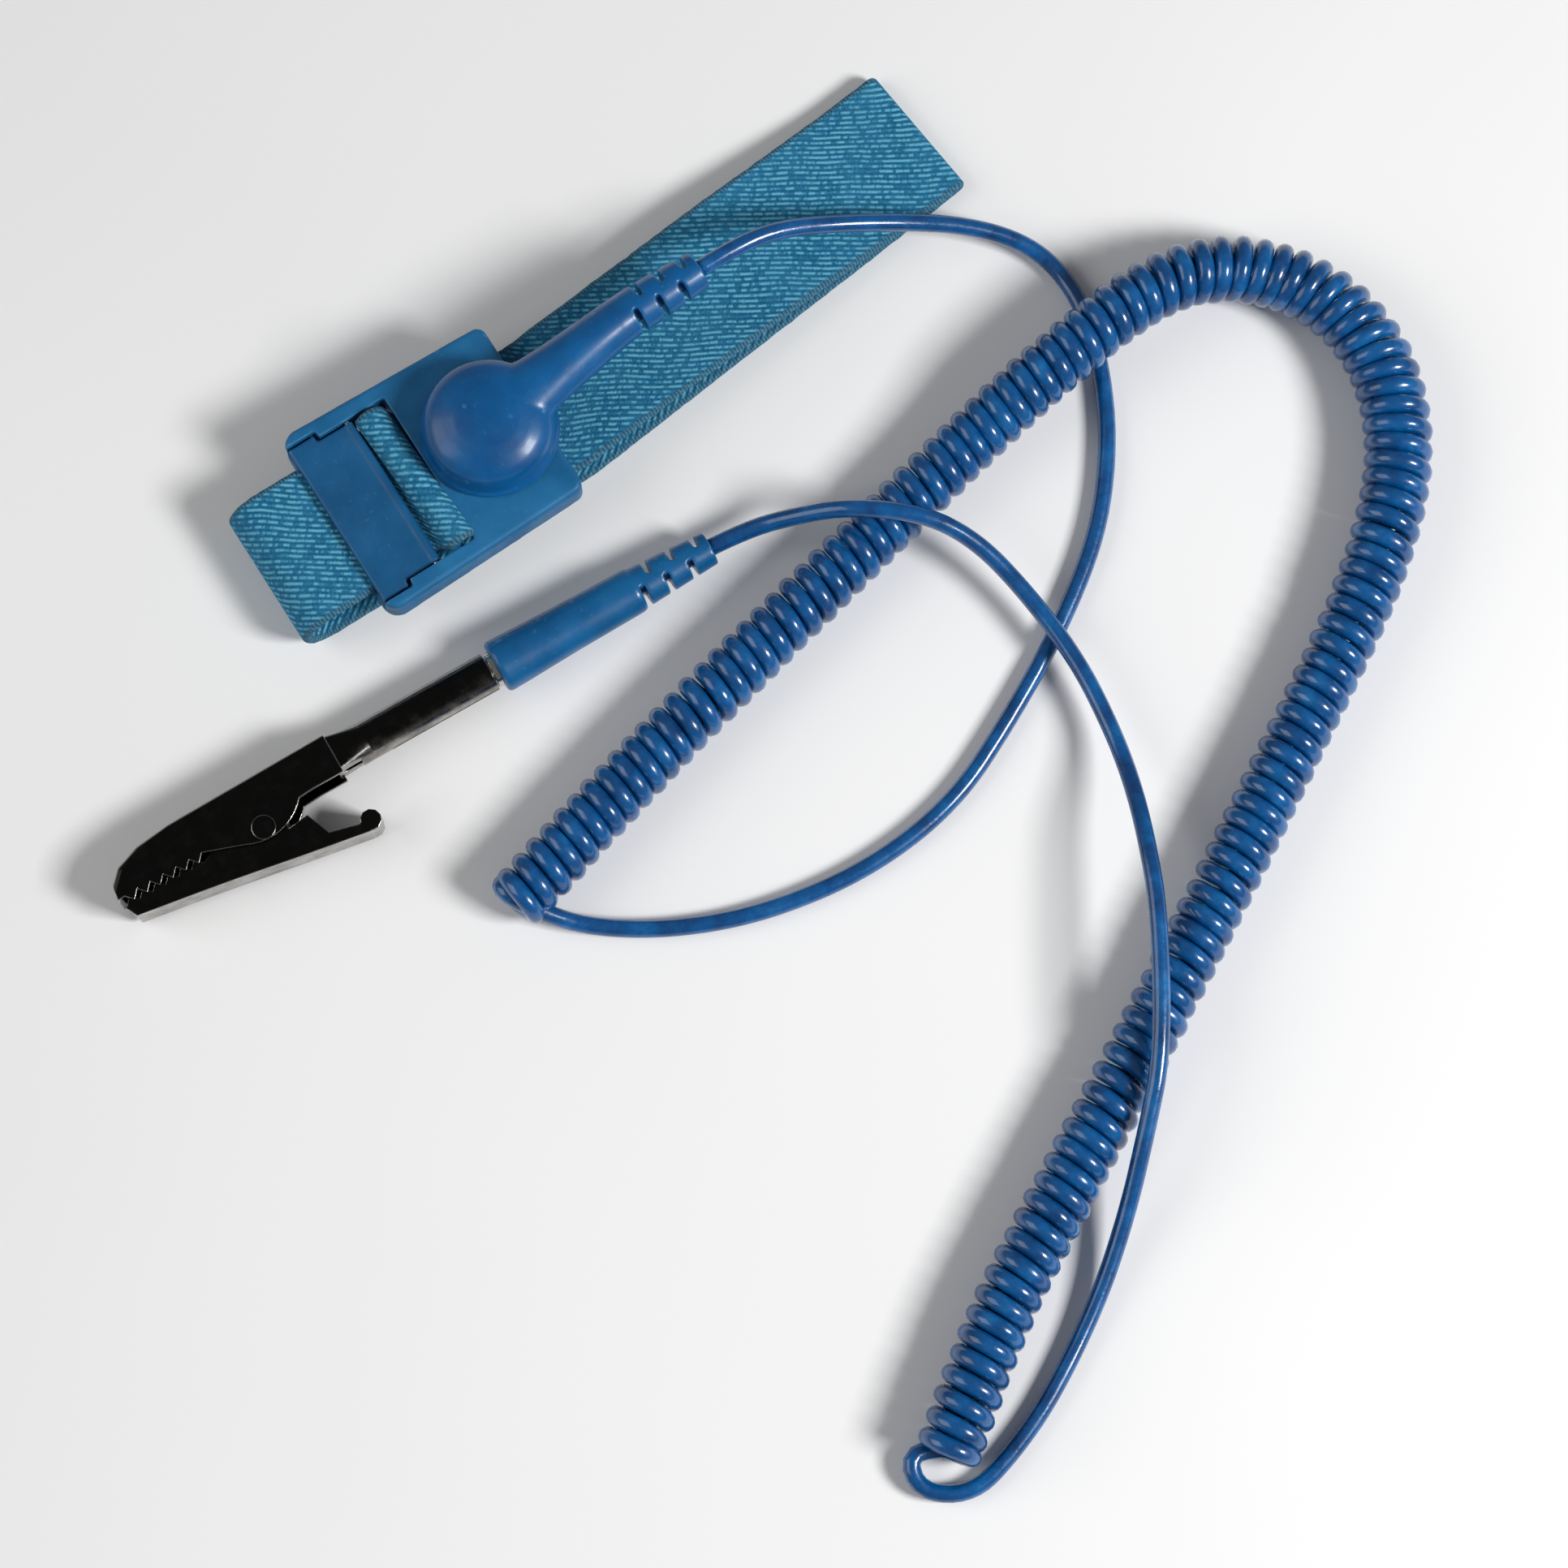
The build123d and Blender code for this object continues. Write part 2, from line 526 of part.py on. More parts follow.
def make_clip_lower_jaw():
    back = [(60.3, 4.4), (59.4, 6.2), (50.0, 7.7), (44.7, 8.6), (36.0, 10.2), (28.5, 11.5), (26.2, 11.9),
            (24.6, 11.6), (24.1, 10.6), (24.7, 9.7), (26.0, 9.6), (27.0, 10.3), (31.2, 9.2), (31.8, 7.6)]
    rear = lobe((PIVOT_U, PIVOT_V), 3.3, 150, 290, 8)
    mouth = teeth(60.0, 4.3, -1)
    outline = back + [(32.6, 5.6)] + rear + [(44.0, 2.4)] + mouth[::-1]
    outer = outline_solid(outline, CLIP_LOWER_HALF)
    hollow = [(62.0, 3.0), (59.2, 5.5), (50.0, 7.7 - SHEET), (36.0, 10.2 - SHEET), (28.4, 11.5 - SHEET),
              (25.0, 11.0), (25.0, -3.0), (62.0, -3.0)]
    jaw = outer - outline_solid(hollow, CLIP_LOWER_HALF - SHEET)
    curl = outline_solid(lobe((25.4, 10.5), 1.5, 0, 324, 9), CLIP_LOWER_HALF)
    curl -= outline_solid(lobe((25.4, 10.5), 0.8, 0, 324, 9), CLIP_LOWER_HALF + 1)
    jaw += curl
    jaw -= Pos(PIVOT_U, PIVOT_V, 0) * Cylinder(PIVOT_RADIUS + RUNNING_GAP, 12)
    return PLUG_FRAME * jaw


def make_clip_pivot_pin():
    shank = Cylinder(PIVOT_RADIUS, 2 * CLIP_UPPER_HALF)
    head = Cylinder(1.7, 0.25)
    pin = shank + Pos(0, 0, CLIP_UPPER_HALF + 0.125) * head + Pos(0, 0, -CLIP_UPPER_HALF - 0.125) * head
    return PLUG_FRAME * Pos(PIVOT_U, PIVOT_V, 0) * pin


def make_clip_spring():
    """A torsion spring round the pivot, one leg on each jaw's spine."""
    turns = 4
    pitch = 0.8
    rise = turns * pitch
    helix = Helix(pitch, rise, SPRING_COIL_RADIUS, center=(0, 0, -rise / 2))
    coil = sweep(Plane(helix @ 0, z_dir=helix % 0) * Circle(SPRING_WIRE_RADIUS), path=helix)
    low_leg = rod((SPRING_COIL_RADIUS, 0, -rise / 2), (2.4, 3.3, -rise / 2), SPRING_WIRE_RADIUS)
    high_leg = rod((SPRING_COIL_RADIUS, 0, rise / 2), (2.6, -5.6, rise / 2), SPRING_WIRE_RADIUS)
    return PLUG_FRAME * Pos(PIVOT_U, PIVOT_V, 0) * (coil + low_leg + high_leg)


# ------------------------------------------------------------------ write everything
snap_tail_route = [boot_point(BOOT_LENGTH), boot_point(BOOT_LENGTH + EXIT_RUN)] + SNAP_TAIL_BEND
clip_tail_route = [plug_axis_point(PLUG_BACK), plug_axis_point(PLUG_BACK - EXIT_RUN)] + CLIP_TAIL_BEND

save("elastic_band", make_elastic_band())
save("buckle_body", make_buckle_body())
save("clamp_lever", make_clamp_lever())
save("lever_hinge_pin", rod((HINGE_X, -HINGE_PIN_HALF, HINGE_Z), (HINGE_X, HINGE_PIN_HALF, HINGE_Z),
                            HINGE_PIN_RADIUS))
save("contact_plate", make_contact_plate())
save("snap_stud", make_snap_stud())
save("stud_rivet", make_stud_rivet())

save("snap_cap", make_snap_cap())
save("snap_socket", make_snap_socket())
save("snap_spring", make_snap_spring())
save("series_resistor", rod(*RESISTOR_ENDS, RESISTOR_RADIUS))
save("resistor_lead_inner", rod(SOCKET_SIDE, RESISTOR_ENDS[0], LEAD_RADIUS))
save("resistor_lead_outer", rod(RESISTOR_ENDS[1], CRIMP_ENDS[0], LEAD_RADIUS))
save("crimp_sleeve", rod(*CRIMP_ENDS, CRIMP_RADIUS))
save("head_cord_end", rod(*CORD_END_RUN, CORE_RADIUS))

save("cord_snap_tail", tube("cord_snap_tail", snap_tail_route, CORD_DIA))
save("cord_clip_tail", tube("cord_clip_tail", clip_tail_route, CORD_DIA))
save("cord_coil", tube("cord_coil", COIL_ROUTE, COIL_DIA))

save("plug_grip", make_plug_grip())
save("plug_cord_end", make_plug_cord_end())
save("banana_pin", make_banana_pin())
save("banana_spring", make_banana_spring())

save("clip_upper_jaw", make_clip_upper_jaw())
save("clip_lower_jaw", make_clip_lower_jaw())
save("clip_pivot_pin", make_clip_pivot_pin())
save("clip_spring", make_clip_spring())
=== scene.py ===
import math

import bpy
import numpy as np
from mathutils import Matrix, Vector


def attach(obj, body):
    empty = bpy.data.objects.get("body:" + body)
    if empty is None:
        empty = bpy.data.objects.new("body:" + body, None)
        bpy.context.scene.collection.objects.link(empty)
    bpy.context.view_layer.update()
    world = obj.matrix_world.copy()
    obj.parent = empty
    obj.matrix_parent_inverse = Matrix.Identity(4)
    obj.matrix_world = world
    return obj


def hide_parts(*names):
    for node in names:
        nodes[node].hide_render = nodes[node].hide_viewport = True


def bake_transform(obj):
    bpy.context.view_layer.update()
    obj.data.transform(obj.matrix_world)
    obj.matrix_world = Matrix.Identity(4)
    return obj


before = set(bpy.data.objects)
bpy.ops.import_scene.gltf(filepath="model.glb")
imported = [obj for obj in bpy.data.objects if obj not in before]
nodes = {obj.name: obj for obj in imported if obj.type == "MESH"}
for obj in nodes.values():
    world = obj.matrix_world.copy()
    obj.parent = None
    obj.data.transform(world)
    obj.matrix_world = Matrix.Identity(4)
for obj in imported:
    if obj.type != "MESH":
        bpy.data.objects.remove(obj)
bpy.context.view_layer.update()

MM = 0.001


def mm(*values):
    """Millimetres to metres, as a vector."""
    return Vector([v * MM for v in values])


def smoothstep(x, low, high):
    """0 below low, 1 above high and eased between them."""
    t = np.clip((np.asarray(x, float) - low) / (high - low), 0, 1)
    return t * t * (3 - 2 * t)


def run_along(line):
    """How far along a line each of its points lies."""
    return np.concatenate([[0], np.cumsum(np.linalg.norm(np.diff(line, axis=0), axis=1))])


# ------------------------------------------------------------------ camera
CAMERA_PLACE = mm(-57.88, -166.29, 638.06)
CAMERA_AIM = mm(8.76, -61.69, 0)
VIEW_TURN = math.radians(32.5)      # the picture's right-hand direction, clockwise of +X
LENS_MM = 107.8
SENSOR_MM = 36


def make_camera():
    """A camera above the table, tilted towards the object and turned with the picture."""
    look = (CAMERA_AIM - CAMERA_PLACE).normalized()
    right = Vector((math.cos(VIEW_TURN), -math.sin(VIEW_TURN), 0))
    up = right.cross(look)
    data = bpy.data.cameras.new("camera")
    data.sensor_width = SENSOR_MM
    data.lens = LENS_MM
    data.clip_start = 0.01
    data.clip_end = 20
    camera = bpy.data.objects.new("camera", data)
    turn = Matrix((right, up, -look)).transposed().to_4x4()
    camera.matrix_world = Matrix.Translation(CAMERA_PLACE) @ turn
    bpy.context.scene.collection.objects.link(camera)
    bpy.context.scene.camera = camera


make_camera()

# ------------------------------------------------------------------ cord
CORD_DIAMETER = 0.0025
TABLE_Z = 1.3                       # axis of a cord lying on the table, mm
COIL_Z = 4.6                        # axis of the coil lying on the table, mm
BOOT_END = (36.0, 2.95, 16.0)       # where the cord leaves the head's strain relief, mm

# The route of the cord in mm. It keeps to the CAD's route, with points moved by up to 4 mm to follow
# the photograph.
SNAP_TAIL = [
    BOOT_END,
    (42.2, 3.08, 16.0),
    (49.0, 2.4, 14.2),
    (57.0, -0.3, 10.2),
    (64.9, -4.0, 7.3),
    (72.7, -8.7, 5.2),
    (78.6, -14.2, 2.7),
    (81.2, -20.4, TABLE_Z),
    (80.8, -28.2, TABLE_Z),
    (77.7, -37.0, TABLE_Z),
    (72.7, -46.0, TABLE_Z),
    (64.8, -55.4, TABLE_Z),
    (53.0, -63.8, TABLE_Z),
    (40.0, -70.9, TABLE_Z),
    (27.0, -76.8, TABLE_Z),
    (12.0, -78.3, TABLE_Z),
    (-3.2, -75.8, TABLE_Z),
    (-15.3, -70.9, TABLE_Z),
    (-24.9, -64.4, 1.5),
    (-29.7, -59.0, 4.4),
    (-32.2, -54.9, 6.1),
]
CLIP_TAIL = [
    (17.62, -28.63, 4.0),
    (23.5, -29.2, 4.2),
    (30.0, -31.9, 7.0),
    (35.6, -35.5, 11.9),
    (43.9, -41.8, 11.9),
    (48.6, -48.3, 8.6),
    (50.9, -57.2, 5.6),
    (51.8, -69.4, 5.0),
    (50.6, -79.8, 4.6),
    (48.4, -88.1, 7.2),
    (45.2, -96.1, 10.6),
    (40.8, -105.8, 12.2),
    (30.8, -121.8, 12.2),
    (23.6, -129.3, 9.4),
    (15.4, -137.4, 4.6),
    (5.8, -145.1, 1.7),
    (-6.5, -152.4, TABLE_Z),
    (-14.8, -155.7, TABLE_Z),
    (-22.1, -157.5, TABLE_Z),
    (-28.1, -153.5, 1.8),
    (-26.9, -148.3, 2.4),
]
COIL_ROUTE = [
    (-32.5, -56.9, COIL_Z),
    (-7.9, -49.9, COIL_Z),
    (16.1, -44.3, COIL_Z),
    (40.1, -38.9, COIL_Z),
    (57.1, -35.3, COIL_Z + 0.8),
    (70.1, -33.2, 8.5),
    (89.8, -30.6, 8.5),
    (101.7, -34.2, 6.0),
    (109.9, -43.8, COIL_Z),
    (111.7, -56.5, COIL_Z),
    (105.8, -70.1, COIL_Z),
    (92.3, -82.2, COIL_Z),
    (74.2, -93.2, COIL_Z),
    (52.2, -106.2, COIL_Z),
    (29.4, -119.4, COIL_Z),
    (6.3, -132.1, COIL_Z),
    (-7.9, -140.1, COIL_Z),
    (-23.0, -151.7, COIL_Z),
]
COIL_TURNS = 118.3
FIRST_HELD = 0.6                    # turns at the coil's first end that are wound on the spot
LAST_HELD = 0.55                    # and at its last end
TURN_POINTS = 12                    # control points for each turn of the curly cord
# The winding radius in mm at shares of the coil's length. The coil opens out where it bends.
COIL_RADII = [(0.0, 3.15), (0.36, 3.12), (0.43, 3.45), (0.5, 3.6), (0.58, 3.4), (0.66, 3.15), (1.0, 3.25)]
COIL_SWELL = 1.08                   # a curled cord is a little fatter than a straight one
PITCH_DRIFT = 0.05                  # unevenness of the pitch, and how many knots it runs over
PITCH_KNOTS = 60
RADIUS_DRIFT = 0.012                # unevenness of the winding radius, as a share of it
RADIUS_KNOTS = 240
TABLE_GAP = 0.00005                 # air under the lowest point of a turn
LOOK_AHEAD = 0.001                  # share of the coil over which its direction is taken
SWELL_IN = (-0.014, -0.004)         # where the cord starts to fatten, from the coil's first point
SWELL_OUT = (-0.012, 0.002)         # and where it is back to its own size, from the coil's last point
ROUTE_STEPS = 64                    # steps of the spline to each control point, for the coil's axis
CORD_STEPS = 12                     # and for the cord
RING_STEP = 0.00085                 # the least distance between the rings of the cord's mesh
RING_SIDES = 14


def nurbs_line(name, points, resolution):
    """The points that Blender gives for a quadratic NURBS spline through control points in metres."""
    curve = bpy.data.curves.new(name, "CURVE")
    curve.dimensions = "3D"
    curve.resolution_u = resolution
    spline = curve.splines.new("NURBS")
    spline.points.add(len(points) - 1)
    for place, point in zip(spline.points, points):
        place.co = (*point, 1)
    spline.order_u = 3
    spline.use_endpoint_u = True
    holder = bpy.data.objects.new(name, curve)
    mesh = bpy.data.meshes.new_from_object(holder)
    line = np.array([v.co for v in mesh.vertices], float)
    bpy.data.objects.remove(holder)
    bpy.data.curves.remove(curve)
    bpy.data.meshes.remove(mesh)
    return line


def wander(rng, count, knots):
    """A smooth random run of numbers about 0."""
    values = rng.normal(0, 1, knots)
    at = np.linspace(0, knots - 1, count)
    whole = np.minimum(at.astype(int), knots - 2)
    t = smoothstep(at - whole, 0, 1)
    return values[whole] * (1 - t) + values[whole + 1] * t


def axis_place(axis, along, share):
    """Points on the coil's axis at shares of its length, carried on straight past its ends."""
    at = np.asarray(share) * along[-1]
    place = np.stack([np.interp(at, along, axis[:, k]) for k in range(3)], axis=1)
    before = np.minimum(at, 0)[:, None]
    after = np.maximum(at - along[-1], 0)[:, None]
    place += before * (axis[1] - axis[0]) / along[1]
    return place + after * (axis[-1] - axis[-2]) / (along[-1] - along[-2])


def helix_points():
    """Control points of the curly part, wound left-handed round the coil's route."""
    axis = nurbs_line("coil_route", [mm(*p) for p in COIL_ROUTE], ROUTE_STEPS)
    along = run_along(axis)
    count = int(COIL_TURNS * TURN_POINTS) + 1
    rng = np.random.default_rng(7)
    share = np.linspace(0, 1, count)
    pitch_noise = np.cumsum(wander(rng, count, PITCH_KNOTS))
    pitch_noise -= np.linspace(pitch_noise[0], pitch_noise[-1], count)
    share_of_line = share + PITCH_DRIFT * pitch_noise / count
    forward = axis_place(axis, along, share_of_line + LOOK_AHEAD)
    forward -= axis_place(axis, along, share_of_line - LOOK_AHEAD)
    forward /= np.linalg.norm(forward, axis=1)[:, None]
    held = np.clip(share_of_line, FIRST_HELD / COIL_TURNS, 1 - LAST_HELD / COIL_TURNS)
    place = axis_place(axis, along, held)
    right = np.cross(forward, (0, 0, 1))
    right /= np.linalg.norm(right, axis=1)[:, None]
    upward = np.cross(right, forward)
    radius = np.interp(share, [s for s, _ in COIL_RADII], [r for _, r in COIL_RADII]) * MM
    radius *= 1 + RADIUS_DRIFT * wander(rng, count, RADIUS_KNOTS)
    place[:, 2] = np.maximum(place[:, 2], radius + CORD_DIAMETER * COIL_SWELL / 2 + TABLE_GAP)
    shrink = math.cos(math.pi / TURN_POINTS)   # a quadratic spline cuts this far inside its points
    angle = math.pi + 2 * math.pi * COIL_TURNS * share
    reach = (radius / shrink)[:, None]
    return place + reach * (np.cos(angle)[:, None] * right + np.sin(angle)[:, None] * upward)


def thin_out(line, step):
    """The line without the points that come nearer than a step to the last one kept."""
    kept = [line[0]]
    for point in line[1:-1]:
        if np.linalg.norm(point - kept[-1]) >= step:
            kept.append(point)
    kept.append(line[-1])
    return np.array(kept)


def sleeve_faces(count, sides, inside_out=False):
    """Faces of a closed sleeve over rings of points, with a flat face at each end."""
    faces = []
    for i in range(count - 1):
        here, there = i * sides, (i + 1) * sides
        for j in range(sides):
            k = (j + 1) % sides
            faces.append((here + j, here + k, there + k, there + j))
    if inside_out:
        faces = [(face[0], *face[:0:-1]) for face in faces]
    first = tuple(range(sides))
    last = tuple((count - 1) * sides + j for j in first)
    ends = [first, last[::-1]] if inside_out else [first[::-1], last]
    return faces + ends


def tube_mesh(name, line, radii, sides):
    """A round tube with a ring of its own radius at each point of the line and closed ends."""
    forward = np.gradient(line, axis=0)
    forward /= np.linalg.norm(forward, axis=1)[:, None]
    side = np.cross(forward[0], (0, 0, 1))
    side /= np.linalg.norm(side)
    angles = np.linspace(0, 2 * math.pi, sides, endpoint=False)
    points = []
    for place, along, radius in zip(line, forward, radii):
        side = side - along * (side @ along)
        side /= np.linalg.norm(side)
        other = np.cross(along, side)
        points.append(place + radius * (np.cos(angles)[:, None] * side + np.sin(angles)[:, None] * other))
    return mesh_object(name, np.concatenate(points), sleeve_faces(len(line), sides))


def mesh_object(name, points, faces):
    """A smooth-shaded object in the scene, from points and faces."""
    mesh = bpy.data.meshes.new(name)
    mesh.from_pydata([tuple(p) for p in points], [], faces)
    mesh.validate()
    mesh.polygons.foreach_set("use_smooth", [True] * len(mesh.polygons))
    mesh.update()
    obj = bpy.data.objects.new(name, mesh)
    bpy.context.scene.collection.objects.link(obj)
    return obj


def make_cord():
    """The whole cord as one tube: tail, curly part, tail. Gives the piece and its middle line."""
    helix = helix_points()
    controls = [mm(*p) for p in SNAP_TAIL] + [Vector(p) for p in helix]
    controls += [mm(*p) for p in reversed(CLIP_TAIL)]
    line = thin_out(nurbs_line("cord_route", controls, CORD_STEPS), RING_STEP)
    along = run_along(line)
    print("cord length", round(float(along[-1]), 3), "m,", len(line), "rings")
    first = along[np.argmin(np.linalg.norm(line - helix[0], axis=1))]
    last = along[np.argmin(np.linalg.norm(line - helix[-1], axis=1))]
    curled = smoothstep(along, first + SWELL_IN[0], first + SWELL_IN[1])
    curled *= 1 - smoothstep(along, last + SWELL_OUT[0], last + SWELL_OUT[1])
    radii = CORD_DIAMETER / 2 * (1 + (COIL_SWELL - 1) * curled)
    return tube_mesh("curly_cord", line, radii, RING_SIDES), line


cord, cord_line = make_cord()

# ------------------------------------------------------------------ node materials
def linear(red, green, blue):
    """A display colour, 0 to 255, as linear light."""
    out = []
    for value in (red, green, blue):
        share = value / 255
        out.append(share / 12.92 if share <= 0.04045 else ((share + 0.055) / 1.055) ** 2.4)
    return (*out, 1.0)


# The weave is mapped in mm, along the band and across it.
WEAVE_SLANT = 36                    # degrees between the rows of the weave and the band
WEAVE_ROW = 0.76                    # from one row to the next
WEAVE_FLOAT = 0.95                  # the length scale of the floats along a row
WEAVE_DRIFT = 1.1                   # how far the rows wander
WEAVE_ROW_SKIP = 5.37               # moves the floats of a row away from those of the row before
SELVEDGE = (9.3, 9.8)               # from the band's middle line, where the plain edge begins
# The gap colour is painted shade between the floats, and the top colour is a painted highlight on them.
WEAVE_GAP_SHADE = linear(18, 92, 130)
WEAVE_YARN = linear(60, 138, 176)
WEAVE_TOP_HIGHLIGHT = linear(108, 184, 212)
SELVEDGE_DARK = linear(30, 76, 104)
SELVEDGE_LIGHT = linear(84, 122, 140)
FUZZ = linear(120, 170, 205)
RUBBED_METAL = (0.72, 0.7, 0.66, 1)
RUBBED_WIDTH = 0.00022              # how far from a metal edge the plating is rubbed bright, m


class Nodes:
    """A small helper that adds and links the nodes of one material."""

    def __init__(self, name):
        self.material = bpy.data.materials.new(name)
        self.material.use_nodes = True
        self.tree = self.material.node_tree
        self.tree.nodes.clear()
        self.shader = self.add("ShaderNodeBsdfPrincipled")
        output = self.add("ShaderNodeOutputMaterial")
        self.link(self.shader.outputs["BSDF"], output.inputs["Surface"])

    def add(self, kind, **settings):
        node = self.tree.nodes.new(kind)
        for key, value in settings.items():
            setattr(node, key, value)
        return node

    def link(self, source, target):
        self.tree.links.new(source, target)

    def fill(self, target, value):
        """Links another node's output to an input, or sets a constant on it."""
        if isinstance(value, bpy.types.NodeSocket):
            self.link(value, target)
        else:
            target.default_value = value

    def put(self, node, **values):
        for key, value in values.items():
            self.fill(node.inputs[key.replace("_", " ")], value)
        return node

    def coordinates(self, kind="Object"):
        return self.add("ShaderNodeTexCoord").outputs[kind]

    def noise(self, vector, scale, detail=2.0, roughness=0.5):
        node = self.add("ShaderNodeTexNoise")
        self.put(node, Vector=vector, Scale=scale, Detail=detail, Roughness=roughness)
        return node.outputs["Fac"]

    def ramp(self, value, stops):
        node = self.add("ShaderNodeValToRGB")
        ramp = node.color_ramp
        while len(ramp.elements) < len(stops):
            ramp.elements.new(0.5)
        for element, (position, colour) in zip(ramp.elements, stops):
            element.position = position
            element.color = colour if len(colour) == 4 else (*colour, 1.0)
        self.link(value, node.inputs["Fac"])
        return node.outputs["Color"]

    def mix(self, factor, first, second):
        node = self.add("ShaderNodeMix", data_type="RGBA")
        for index, value in ((0, factor), (6, first), (7, second)):
            self.fill(node.inputs[index], value)
        return node.outputs[2]

    def math(self, operation, first, second=0.0, third=0.0):
        node = self.add("ShaderNodeMath", operation=operation)
        for index, value in enumerate((first, second, third)):
            self.fill(node.inputs[index], value)
        return node.outputs[0]

    def span(self, value, low, high, to_low=0.0, to_high=1.0):
        """The value's place between low and high, eased at both ends, from to_low to to_high."""
        node = self.add("ShaderNodeMapRange", interpolation_type="SMOOTHSTEP")
        for index, item in enumerate((value, low, high, to_low, to_high)):
            self.fill(node.inputs[index], item)
        return node.outputs[0]

    def bump(self, height, strength, distance, before=None):
        node = self.put(self.add("ShaderNodeBump"), Height=height, Strength=strength, Distance=distance)
        if before is not None:
            self.link(before, node.inputs["Normal"])
        return node.outputs["Normal"]


def moulded_plastic(name, dark, base, worn, roughness, coat=0.0):
    """Moulded plastic: cloudy colour, fine spark-eroded grain and paler, rubbed edges."""
    n = Nodes(name)
    place = n.coordinates()
    clouds = n.noise(place, 140, 4)
    colour = n.ramp(clouds, [(0.3, dark), (0.7, base)])
    specks = n.span(n.noise(place, 1700, 2), 0.66, 0.74)
    colour = n.mix(n.math("MULTIPLY", specks, 0.18), colour, worn)
    edge = n.add("ShaderNodeNewGeometry").outputs["Pointiness"]
    rubbed = n.math("MULTIPLY", n.span(edge, 0.515, 0.56), n.span(n.noise(place, 420, 3), 0.35, 0.7))
    colour = n.mix(n.math("MULTIPLY", rubbed, 0.55), colour, worn)
    fine = n.noise(place, 3600, 2)
    scuffs = n.noise(place, 320, 5, 0.65)
    rough = n.span(scuffs, 0.3, 0.75, roughness - 0.07, roughness + 0.1)
    normal = n.bump(fine, 0.16, 0.00006)
    normal = n.bump(scuffs, 0.22, 0.0001, normal)
    n.put(n.shader, Base_Color=colour, Roughness=rough, Normal=normal, Specular_IOR_Level=0.35)
    n.put(n.shader, Coat_Weight=coat, Coat_Roughness=0.18)
    return n.material


def pvc_jacket(name, dark, base, light):
    """A glossy extruded jacket with faint lengthwise unevenness and dull smears."""
    n = Nodes(name)
    place = n.coordinates()
    colour = n.ramp(n.noise(place, 260, 4, 0.6), [(0.28, dark), (0.55, base), (0.8, light)])
    smear = n.noise(place, 620, 4, 0.7)
    rough = n.span(smear, 0.35, 0.75, 0.2, 0.42)
    normal = n.bump(n.noise(place, 900, 3, 0.6), 0.35, 0.00012)
    normal = n.bump(n.noise(place, 5200, 2), 0.1, 0.00004, normal)
    n.put(n.shader, Base_Color=colour, Roughness=rough, Normal=normal, Specular_IOR_Level=0.4)
    n.put(n.shader, Coat_Weight=0.6, Coat_Roughness=0.12)
    return n.material


def plated_metal(name, dark, base, roughness, brush=(1.0, 1.0, 1.0), scratch=0.5, painted_cheek_reflection=None):
    """Plated metal with dull patches, fine marks and bright, rubbed edges.

    Given a cheek colour, faces that look up or down take it as a painted dark reflection, and faces turned to
    +Y are darkened part way towards the dark colour as painted shade.
    """
    n = Nodes(name)
    place = n.coordinates()
    colour = n.ramp(n.noise(place, 330, 5, 0.65), [(0.32, dark), (0.68, base)])
    if painted_cheek_reflection is not None:
        # Painted light: flat faces get the cheek colour as a painted dark reflection, and faces turned to +Y,
        # away from the key lamp, are darkened as painted shade.
        facing = n.put(n.add("ShaderNodeSeparateXYZ"), Vector=n.coordinates("Normal"))
        flat = n.span(n.math("ABSOLUTE", facing.outputs["Z"]), 0.55, 0.9)
        painted_shade_side = n.span(facing.outputs["Y"], -0.6, 0.3)
        colour = n.mix(n.math("MULTIPLY", painted_shade_side, 0.6), colour, dark)
        colour = n.mix(flat, colour, painted_cheek_reflection)
    bevel = n.put(n.add("ShaderNodeBevel", samples=6), Radius=RUBBED_WIDTH)
    rounding = n.add("ShaderNodeVectorMath", operation="DOT_PRODUCT")
    n.link(bevel.outputs["Normal"], rounding.inputs[0])
    n.link(n.add("ShaderNodeNewGeometry").outputs["True Normal"], rounding.inputs[1])
    edge = n.span(rounding.outputs["Value"], 0.985, 0.86)
    colour = n.mix(n.math("MULTIPLY", edge, 0.75), colour, RUBBED_METAL)
    stretched = n.put(n.add("ShaderNodeMapping"), Vector=place, Scale=brush).outputs["Vector"]
    lines = n.noise(stretched, 2400, 3, 0.7)
    stains = n.noise(place, 500, 4, 0.6)
    rough = n.span(stains, 0.3, 0.75, roughness * 0.6, roughness * 1.7)
    normal = n.bump(lines, 0.12 * scratch, 0.00004, bevel.outputs["Normal"])
    normal = n.bump(n.noise(place, 420, 3), 0.25, 0.00015, normal)
    n.put(n.shader, Base_Color=colour, Metallic=1.0, Roughness=rough, Normal=normal)
    return n.material


